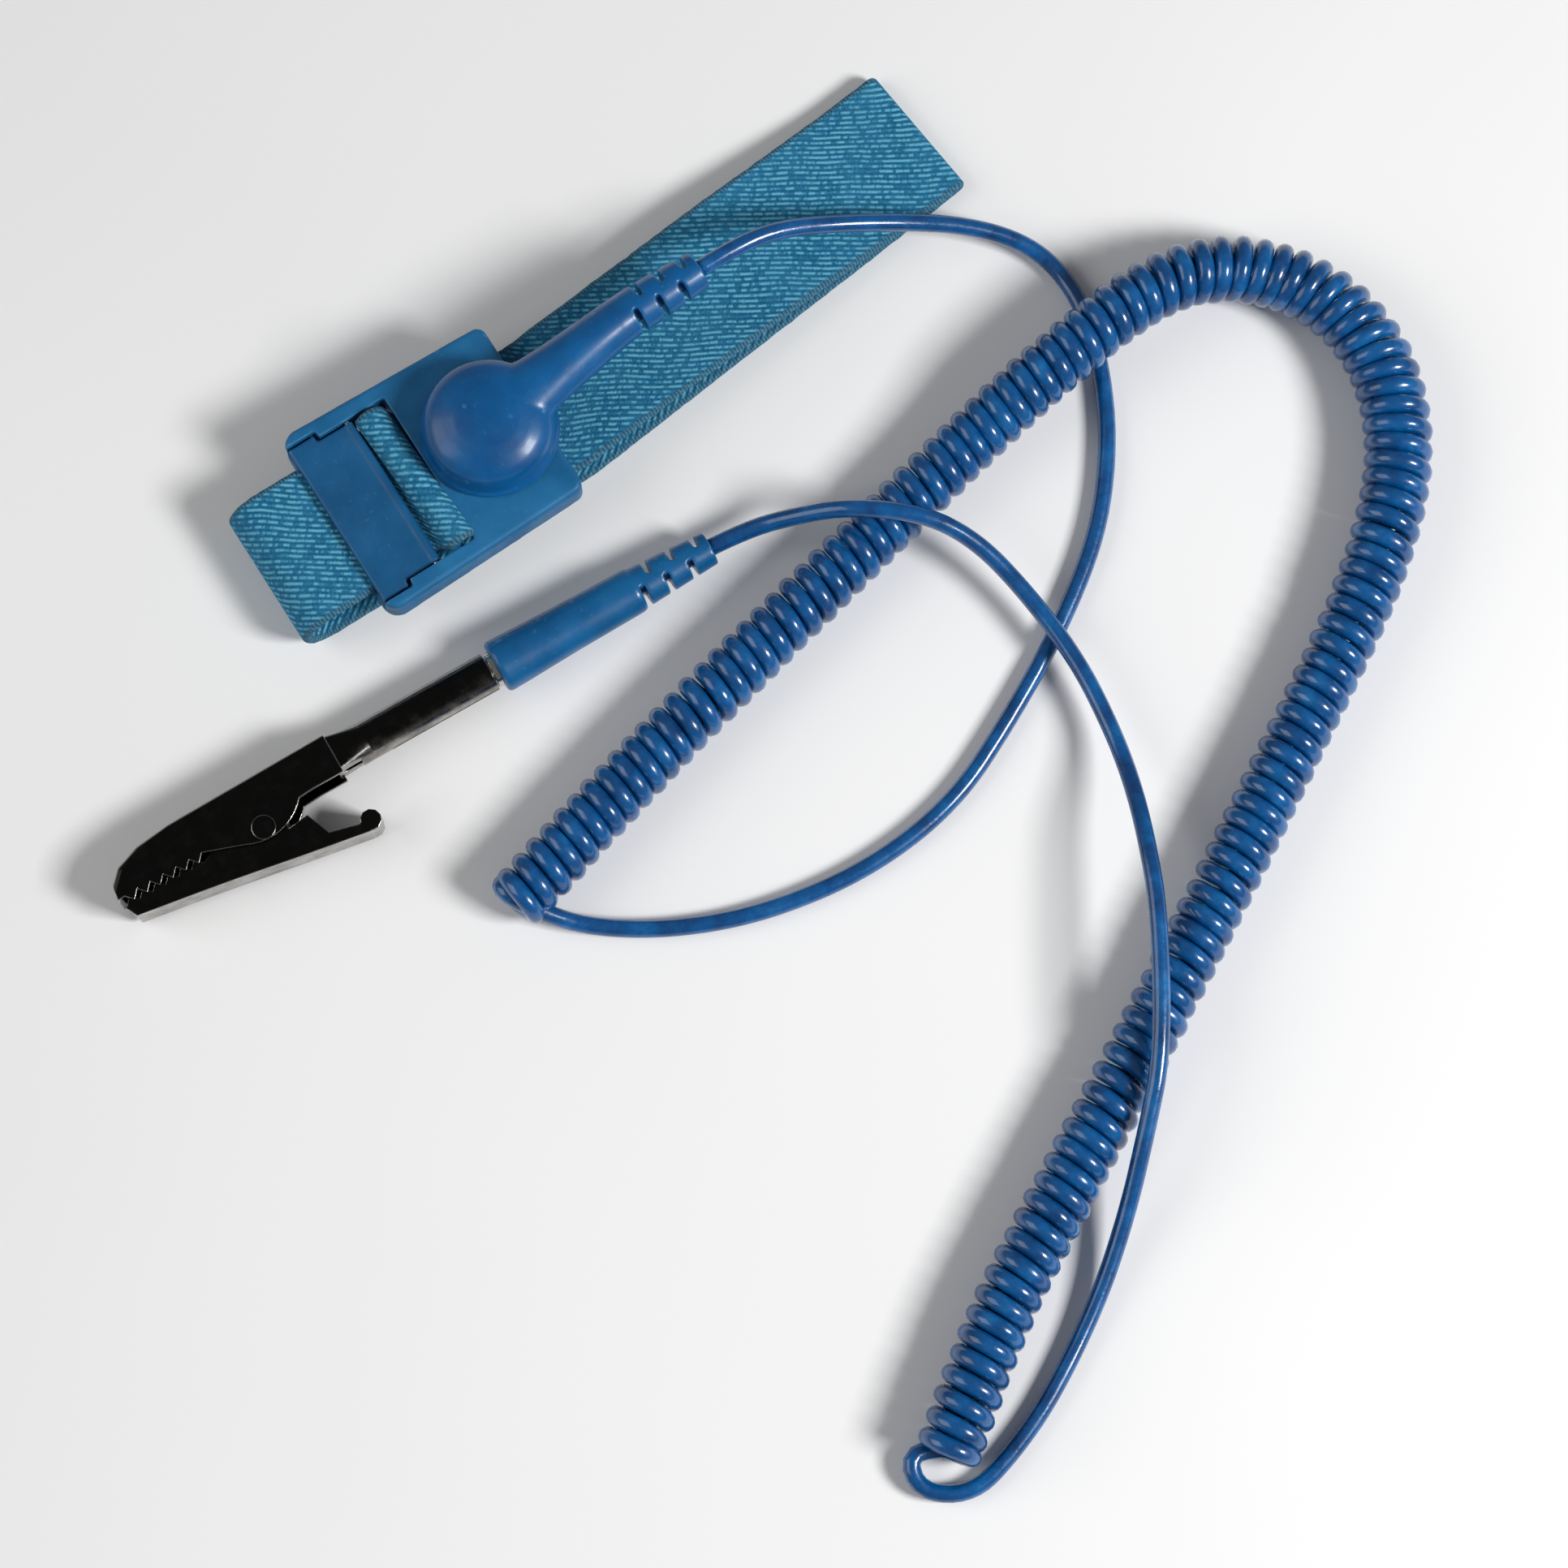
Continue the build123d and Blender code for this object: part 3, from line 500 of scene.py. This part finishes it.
def woven_elastic(name):
    """Elastic webbing: rows of short floats on the slant, darker gaps as painted shade, paler float tops as
    painted highlight, a plain selvedge and fuzz.
    """
    n = Nodes(name)
    uv = n.add("ShaderNodeUVMap", uv_map="weave").outputs["UV"]
    across = n.put(n.add("ShaderNodeSeparateXYZ"), Vector=uv).outputs["Y"]
    slanted = n.put(n.add("ShaderNodeMapping"), Vector=uv, Rotation=(0, 0, math.radians(WEAVE_SLANT)))
    slanted = slanted.outputs["Vector"]
    parts = n.put(n.add("ShaderNodeSeparateXYZ"), Vector=slanted)
    along_row, over_rows = parts.outputs["X"], parts.outputs["Y"]
    drift = n.math("MULTIPLY_ADD", n.noise(uv, 0.09, 3), WEAVE_DRIFT, over_rows)
    row = n.math("DIVIDE", drift, WEAVE_ROW)
    row_number = n.math("FLOOR", row)
    ridge = n.math("COSINE", n.math("MULTIPLY", n.math("SUBTRACT", row, row_number), 2 * math.pi))
    ridge = n.math("MULTIPLY_ADD", ridge, -0.5, 0.5)
    stretched = n.add("ShaderNodeCombineXYZ")
    n.link(n.math("DIVIDE", along_row, WEAVE_FLOAT), stretched.inputs["X"])
    n.link(n.math("MULTIPLY", row_number, WEAVE_ROW_SKIP), stretched.inputs["Y"])
    floats = n.span(n.noise(stretched.outputs["Vector"], 1.0, 1.0), 0.38, 0.58)
    height = n.math("MULTIPLY", ridge, n.math("MULTIPLY_ADD", floats, 0.8, 0.2))
    fibre = n.noise(slanted, 3.2, 3, 0.75)
    height = n.math("MULTIPLY_ADD", n.math("SUBTRACT", fibre, 0.5), 1.1, height)
    # Colour follows the weave's height: darker in the gaps is painted shade, and paler on the float tops is
    # painted highlight.
    colour = n.ramp(height, [(0.0, WEAVE_GAP_SHADE), (0.42, WEAVE_YARN), (0.9, WEAVE_TOP_HIGHLIGHT)])
    patches = n.noise(uv, 0.16, 3, 0.6)
    colour = n.mix(n.span(patches, 0.35, 0.7, 0.0, 0.28), colour, WEAVE_YARN)
    edge = n.span(n.math("ABSOLUTE", across), *SELVEDGE)
    ribs = n.add("ShaderNodeTexWave", wave_type="BANDS", bands_direction="X")
    n.put(ribs, Vector=uv, Scale=0.62, Distortion=1.5, Detail=1.0)
    selvedge = n.mix(ribs.outputs["Fac"], SELVEDGE_DARK, SELVEDGE_LIGHT)
    colour = n.mix(n.math("MULTIPLY", edge, 0.8), colour, selvedge)
    normal = n.bump(height, 0.8, 0.00022)
    n.put(n.shader, Base_Color=colour, Roughness=0.88, Normal=normal, Specular_IOR_Level=0.15)
    n.put(n.shader, Sheen_Weight=0.1, Sheen_Roughness=0.45, Sheen_Tint=FUZZ)
    return n.material


blue_dome = moulded_plastic(
    "blue_moulding", linear(0, 70, 124), linear(2, 92, 152), linear(80, 140, 190), roughness=0.38, coat=0.25)
blue_buckle = moulded_plastic(
    "buckle_plastic", linear(14, 92, 140), linear(30, 110, 160), linear(90, 150, 190), roughness=0.5)
blue_lever = moulded_plastic(
    "lever_plastic", linear(8, 76, 120), linear(20, 92, 140), linear(80, 138, 180), roughness=0.46)
blue_grip = moulded_plastic(
    "grip_moulding", linear(0, 76, 126), linear(14, 98, 152), linear(92, 150, 194), roughness=0.36, coat=0.25)
jacket = pvc_jacket("cord_jacket", linear(0, 54, 104), linear(0, 80, 140), linear(20, 106, 166))
elastic = woven_elastic("woven_elastic")
# The clip's near-black cheeks are a painted dark reflection and its faces turned to +Y carry painted shade,
# not the plating's own colour.
nickel = plated_metal(
    "clip_nickel_painted_shade", (0.16, 0.155, 0.15, 1), (0.46, 0.43, 0.4, 1), 0.2, painted_cheek_reflection=(0.022, 0.021, 0.02, 1))
bright_nickel = plated_metal("bright_nickel", (0.45, 0.44, 0.41, 1), (0.68, 0.66, 0.61, 1), 0.16)
steel = plated_metal("stainless", (0.42, 0.42, 0.41, 1), (0.6, 0.6, 0.58, 1), 0.22, (1, 30, 1), 1.0)
brass = plated_metal("spring_brass", (0.5, 0.36, 0.14, 1), (0.72, 0.55, 0.26, 1), 0.22)
tin = plated_metal("tinned_copper", (0.5, 0.5, 0.49, 1), (0.72, 0.71, 0.69, 1), 0.3)
resistor_coat = moulded_plastic(
    "resistor_coat", linear(168, 134, 92), linear(196, 164, 120), linear(220, 200, 170), roughness=0.4)

CAD_FINISHES = {
    "lever_hinge_pin": steel, "contact_plate": steel, "snap_stud": bright_nickel, "stud_rivet": bright_nickel,
    "snap_socket": bright_nickel, "snap_spring": steel, "series_resistor": resistor_coat,
    "resistor_lead_inner": tin, "resistor_lead_outer": tin, "crimp_sleeve": tin, "head_cord_end": jacket,
    "plug_cord_end": jacket, "banana_pin": bright_nickel, "banana_spring": brass, "clip_upper_jaw": nickel,
    "clip_lower_jaw": nickel, "clip_pivot_pin": nickel, "clip_spring": steel,
}


def paint(obj, material):
    """Gives every face of an object one material."""
    if not obj.material_slots:
        obj.data.materials.append(material)
    for holder in obj.material_slots:
        holder.material = material


for node, material in CAD_FINISHES.items():
    paint(nodes[node], material)
paint(cord, jacket)

# ------------------------------------------------------------------ moulded parts with softened edges
HEAD_NECK_X = 0.0225                # where the dome of the cord head ends and its stem begins, m
STEM_SOFTENING = 0.14               # the stem's grooves are smoothed this much, against 1 for the dome


def apply_modifiers(obj):
    """Puts the shape that an object's modifiers make in place of its mesh."""
    graph = bpy.context.evaluated_depsgraph_get()
    mesh = bpy.data.meshes.new_from_object(obj.evaluated_get(graph))
    obj.modifiers.clear()
    obj.data = mesh


def softened(node, name, voxel, rounds, weight=None):
    """A copy of a CAD node with its hard edges rounded off. weight says how much, for a point of it."""
    source = nodes[node]
    obj = bpy.data.objects.new(name, source.data.copy())
    bpy.context.scene.collection.objects.link(obj)
    remesh = obj.modifiers.new("remesh", "REMESH")
    remesh.mode = "VOXEL"
    remesh.voxel_size = voxel
    apply_modifiers(obj)
    if weight is not None:
        group = obj.vertex_groups.new(name="soften")
        for vertex in obj.data.vertices:
            group.add([vertex.index], weight(vertex.co), "REPLACE")
    smooth = obj.modifiers.new("smooth", "SMOOTH")
    smooth.factor = 0.5
    smooth.iterations = rounds
    if weight is not None:
        smooth.vertex_group = "soften"
    apply_modifiers(obj)
    obj.data.polygons.foreach_set("use_smooth", [True] * len(obj.data.polygons))
    obj.vertex_groups.clear()
    obj.data.materials.clear()
    return obj


def more_on_the_dome(point):
    return 1.0 if point.x < HEAD_NECK_X else STEM_SOFTENING


buckle = softened("buckle_body", "buckle", voxel=0.00026, rounds=3)
lever = softened("clamp_lever", "lever", voxel=0.0002, rounds=2)
cap = softened("snap_cap", "cord_head", voxel=0.00024, rounds=26, weight=more_on_the_dome)
grip = softened("plug_grip", "plug_moulding", voxel=0.0002, rounds=3)
for piece, material, body, node, record_slot in (
        (buckle, blue_buckle, "wristband", "buckle_body", "buckle_plastic"),
        (lever, blue_lever, "clamp_lever", "clamp_lever", "buckle_plastic"),
        (cap, blue_dome, "snap_head", "snap_cap", "cord_moulding"),
        (grip, blue_grip, "cord_set", "plug_grip", "cord_moulding")):
    paint(piece, material)
    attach(piece, body)
    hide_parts(node)

# ------------------------------------------------------------------ elastic band
BAND_WIDTH = 20.6
BAND_THICK = 1.3
BAND_SEAM_X = 9.5                   # the free part of the band swings about the buckle's right-hand edge
BAND_SWING = 6.4                    # degrees
PATH_STEP = 0.4
SECTION_FLAT = 33                   # points across each flat side of the band
SECTION_ROUND = 9                   # and round each of its edges
EDGE_RIPPLE = 0.03                  # mm, how far the selvedges wander in and out
RIPPLE_ZONE = (8.8, 10.3)           # from the middle line, where the ripple sets in and where it is full
BAR_X = -20                         # the wrap over the buckle's bar is all to the right of this,
BAR_RISE = (9.6, 11.2)              # and above these heights
BAR_SPREAD = 0.105                  # how much wider the band is where it is wrapped over the bar
BAR_SHIFT = 0.1
BAR_SKEW = 4.0                      # degrees between the wrap and the band
FREE_X = (14, 24)                   # the upper layer waves a little from the buckle on,
FREE_Z = (1.0, 2.0)                 # and the lower layer lies flat on the table
WAVE_SWAY = 0.12                    # mm, random, along the band
WAVE_CURL = 0.10                    # mm, across it
WAVE_ACROSS = 0.45                  # radians for each mm across, and for each step along
WAVE_ALONG = 0.012
WAVE_FLOOR = 1.5                    # no waves below this height, and full waves from 3 mm above it on
WAVE_RAMP = 3
SWING_RUN = 3                       # mm on each side of the seam over which the swing sets in
BAND_PATH = [                       # (x, z, corner radius) of the band's middle surface, before the swing
    (-6.5, 7.25, 0), (14.5, 7.25, 60), (41.5, 5.3, 100), (66.5, 2.15, 60), (75.4, 2.15, 0.74),
    (75.4, 0.65, 0.74), (-36.3, 0.65, 4.28), (-36.3, 9.25, 4.28), (-13.95, 9.25, 1.2), (-13.95, 12.5, 1.7),
    (-10.55, 12.5, 1.7), (-10.55, 6.9, 0)]


def rounded_path(corners, step):
    """Even points along straight runs joined by tangent arcs, in the XZ plane, and how far along each is."""
    points = [np.array(corners[0][:2], float)]
    for before, corner, after in zip(corners, corners[1:], corners[2:]):
        middle = np.array(corner[:2], float)
        inward = middle - np.array(before[:2], float)
        outward = np.array(after[:2], float) - middle
        inward /= np.linalg.norm(inward)
        outward /= np.linalg.norm(outward)
        turn = math.atan2(inward[0] * outward[1] - inward[1] * outward[0], inward @ outward)
        cut = corner[2] * math.tan(abs(turn) / 2)
        start = middle - inward * cut
        centre = start + corner[2] * math.copysign(1, turn) * np.array((-inward[1], inward[0]))
        steps = max(3, int(abs(turn) * corner[2] / step))
        for i in range(steps + 1):
            angle = turn * i / steps
            spoke = start - centre
            points.append(centre + np.array((spoke[0] * math.cos(angle) - spoke[1] * math.sin(angle),
                                             spoke[0] * math.sin(angle) + spoke[1] * math.cos(angle))))
    points.append(np.array(corners[-1][:2], float))
    full = np.array(points)
    along = run_along(full)
    keep = np.concatenate([[True], np.diff(along) > 1e-6])
    full, along = full[keep], along[keep]
    at = np.linspace(0, along[-1], int(along[-1] / step) + 1)
    return np.stack([np.interp(at, along, full[:, k]) for k in range(2)], axis=1), at


def band_section():
    """(across, above) points round the band's section, a flat strip with full, rounded edges."""
    half, thick = BAND_WIDTH / 2, BAND_THICK / 2
    inner = half - thick
    across = np.linspace(-inner, inner, SECTION_FLAT)
    angles = np.linspace(0, math.pi, SECTION_ROUND)[1:-1]
    top = [(v, thick) for v in across]
    right = [(inner + thick * math.sin(a), thick * math.cos(a)) for a in angles]
    bottom = [(v, -thick) for v in across[::-1]]
    left = [(-inner - thick * math.sin(a), -thick * math.cos(a)) for a in angles]
    return np.array(top + right + bottom + left)


def make_band():
    """The webbing in its loop, with a map of mm along it and across it for the weave."""
    path, along = rounded_path(BAND_PATH, PATH_STEP)
    forward = np.gradient(path, axis=0)
    forward /= np.linalg.norm(forward, axis=1)[:, None]
    above = np.stack([-forward[:, 1], forward[:, 0]], axis=1)
    section = band_section()
    rng = np.random.default_rng(3)
    ripple = np.stack([wander(rng, len(path), len(path) // 2) for _ in range(2)], axis=1)
    sway = wander(rng, len(path), 14)
    points, uvs = [], []
    for i, (x, z) in enumerate(path):
        v, h = section[:, 0].copy(), section[:, 1].copy()
        edge = smoothstep(np.abs(v), *RIPPLE_ZONE)
        v += np.sign(v) * edge * EDGE_RIPPLE * ripple[i][(v > 0).astype(int)]
        wrapped = float(smoothstep(z, *BAR_RISE)) * float(x > BAR_X)
        v *= 1 + BAR_SPREAD * wrapped
        px = x + h * above[i][0] + (BAR_SHIFT - math.tan(math.radians(BAR_SKEW)) * v) * wrapped
        pz = z + h * above[i][1]
        free = float(smoothstep(x, *FREE_X) * smoothstep(z, *FREE_Z))
        wave = WAVE_SWAY * sway[i] + WAVE_CURL * np.sin(v * WAVE_ACROSS + i * WAVE_ALONG)
        pz = pz + free * wave * min(1.0, max(0.0, (z - WAVE_FLOOR) / WAVE_RAMP))
        turn = math.radians(BAND_SWING) * smoothstep(px, BAND_SEAM_X - SWING_RUN, BAND_SEAM_X + SWING_RUN)
        dx = px - BAND_SEAM_X
        points.append(np.stack([BAND_SEAM_X + dx * np.cos(turn) - v * np.sin(turn),
                                dx * np.sin(turn) + v * np.cos(turn), np.maximum(pz, 0.0)], axis=1) * MM)
        uvs.append(np.stack([np.full(len(v), along[i]), section[:, 0]], axis=1))
    faces = sleeve_faces(len(path), len(section), inside_out=True)
    obj = mesh_object("elastic_webbing", np.concatenate(points), faces)
    layer = obj.data.uv_layers.new(name="weave")
    flat = np.concatenate(uvs)
    order = np.zeros(len(obj.data.loops), np.int32)
    obj.data.loops.foreach_get("vertex_index", order)
    layer.data.foreach_set("uv", flat[order].astype(np.float32).ravel())
    return obj


band = make_band()
paint(band, elastic)
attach(band, "wristband")
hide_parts("elastic_band")

# ------------------------------------------------------------------ floor and light
FLOOR_HALF = 3.0
FLOOR_Z = -0.0002
WORLD_STRENGTH = 0.17
LIGHT_AIM = (0.02, -0.05, 0)
LIGHTS = [                          # name, place, side of the square panel, watts
    ("key", (0.45, -0.60, 0.62), 0.26, 8.6),
    ("fill", (-0.75, 0.35, 0.6), 0.8, 4.2),
]


def make_floor():
    corners = [(x * FLOOR_HALF, y * FLOOR_HALF, FLOOR_Z) for x, y in ((-1, -1), (1, -1), (1, 1), (-1, 1))]
    floor = mesh_object("floor", corners, [(0, 1, 2, 3)])
    n = Nodes("pale_floor")
    place = n.coordinates()
    colour = n.ramp(n.noise(place, 6, 3), [(0.3, (0.86, 0.86, 0.86)), (0.7, (0.89, 0.89, 0.89))])
    n.put(n.shader, Base_Color=colour, Roughness=0.8)
    paint(floor, n.material)


def area_light(name, place, side, power):
    """A square, white panel of light that faces the object."""
    data = bpy.data.lights.new(name, "AREA")
    data.shape = "SQUARE"
    data.size = side
    data.energy = power
    light = bpy.data.objects.new(name, data)
    light.location = place
    light.rotation_euler = (Vector(LIGHT_AIM) - Vector(place)).to_track_quat("-Z", "Y").to_euler()
    bpy.context.scene.collection.objects.link(light)


def make_world(strength):
    world = bpy.data.worlds.new("studio")
    world.use_nodes = True
    background = world.node_tree.nodes["Background"]
    background.inputs["Color"].default_value = (1, 1, 1, 1)
    background.inputs["Strength"].default_value = strength
    bpy.context.scene.world = world


make_floor()
make_world(WORLD_STRENGTH)
for lamp in LIGHTS:
    area_light(*lamp)
bpy.context.scene.view_settings.view_transform = "Standard"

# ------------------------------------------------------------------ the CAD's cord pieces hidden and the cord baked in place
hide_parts("cord_snap_tail", "cord_clip_tail", "cord_coil")
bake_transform(cord)
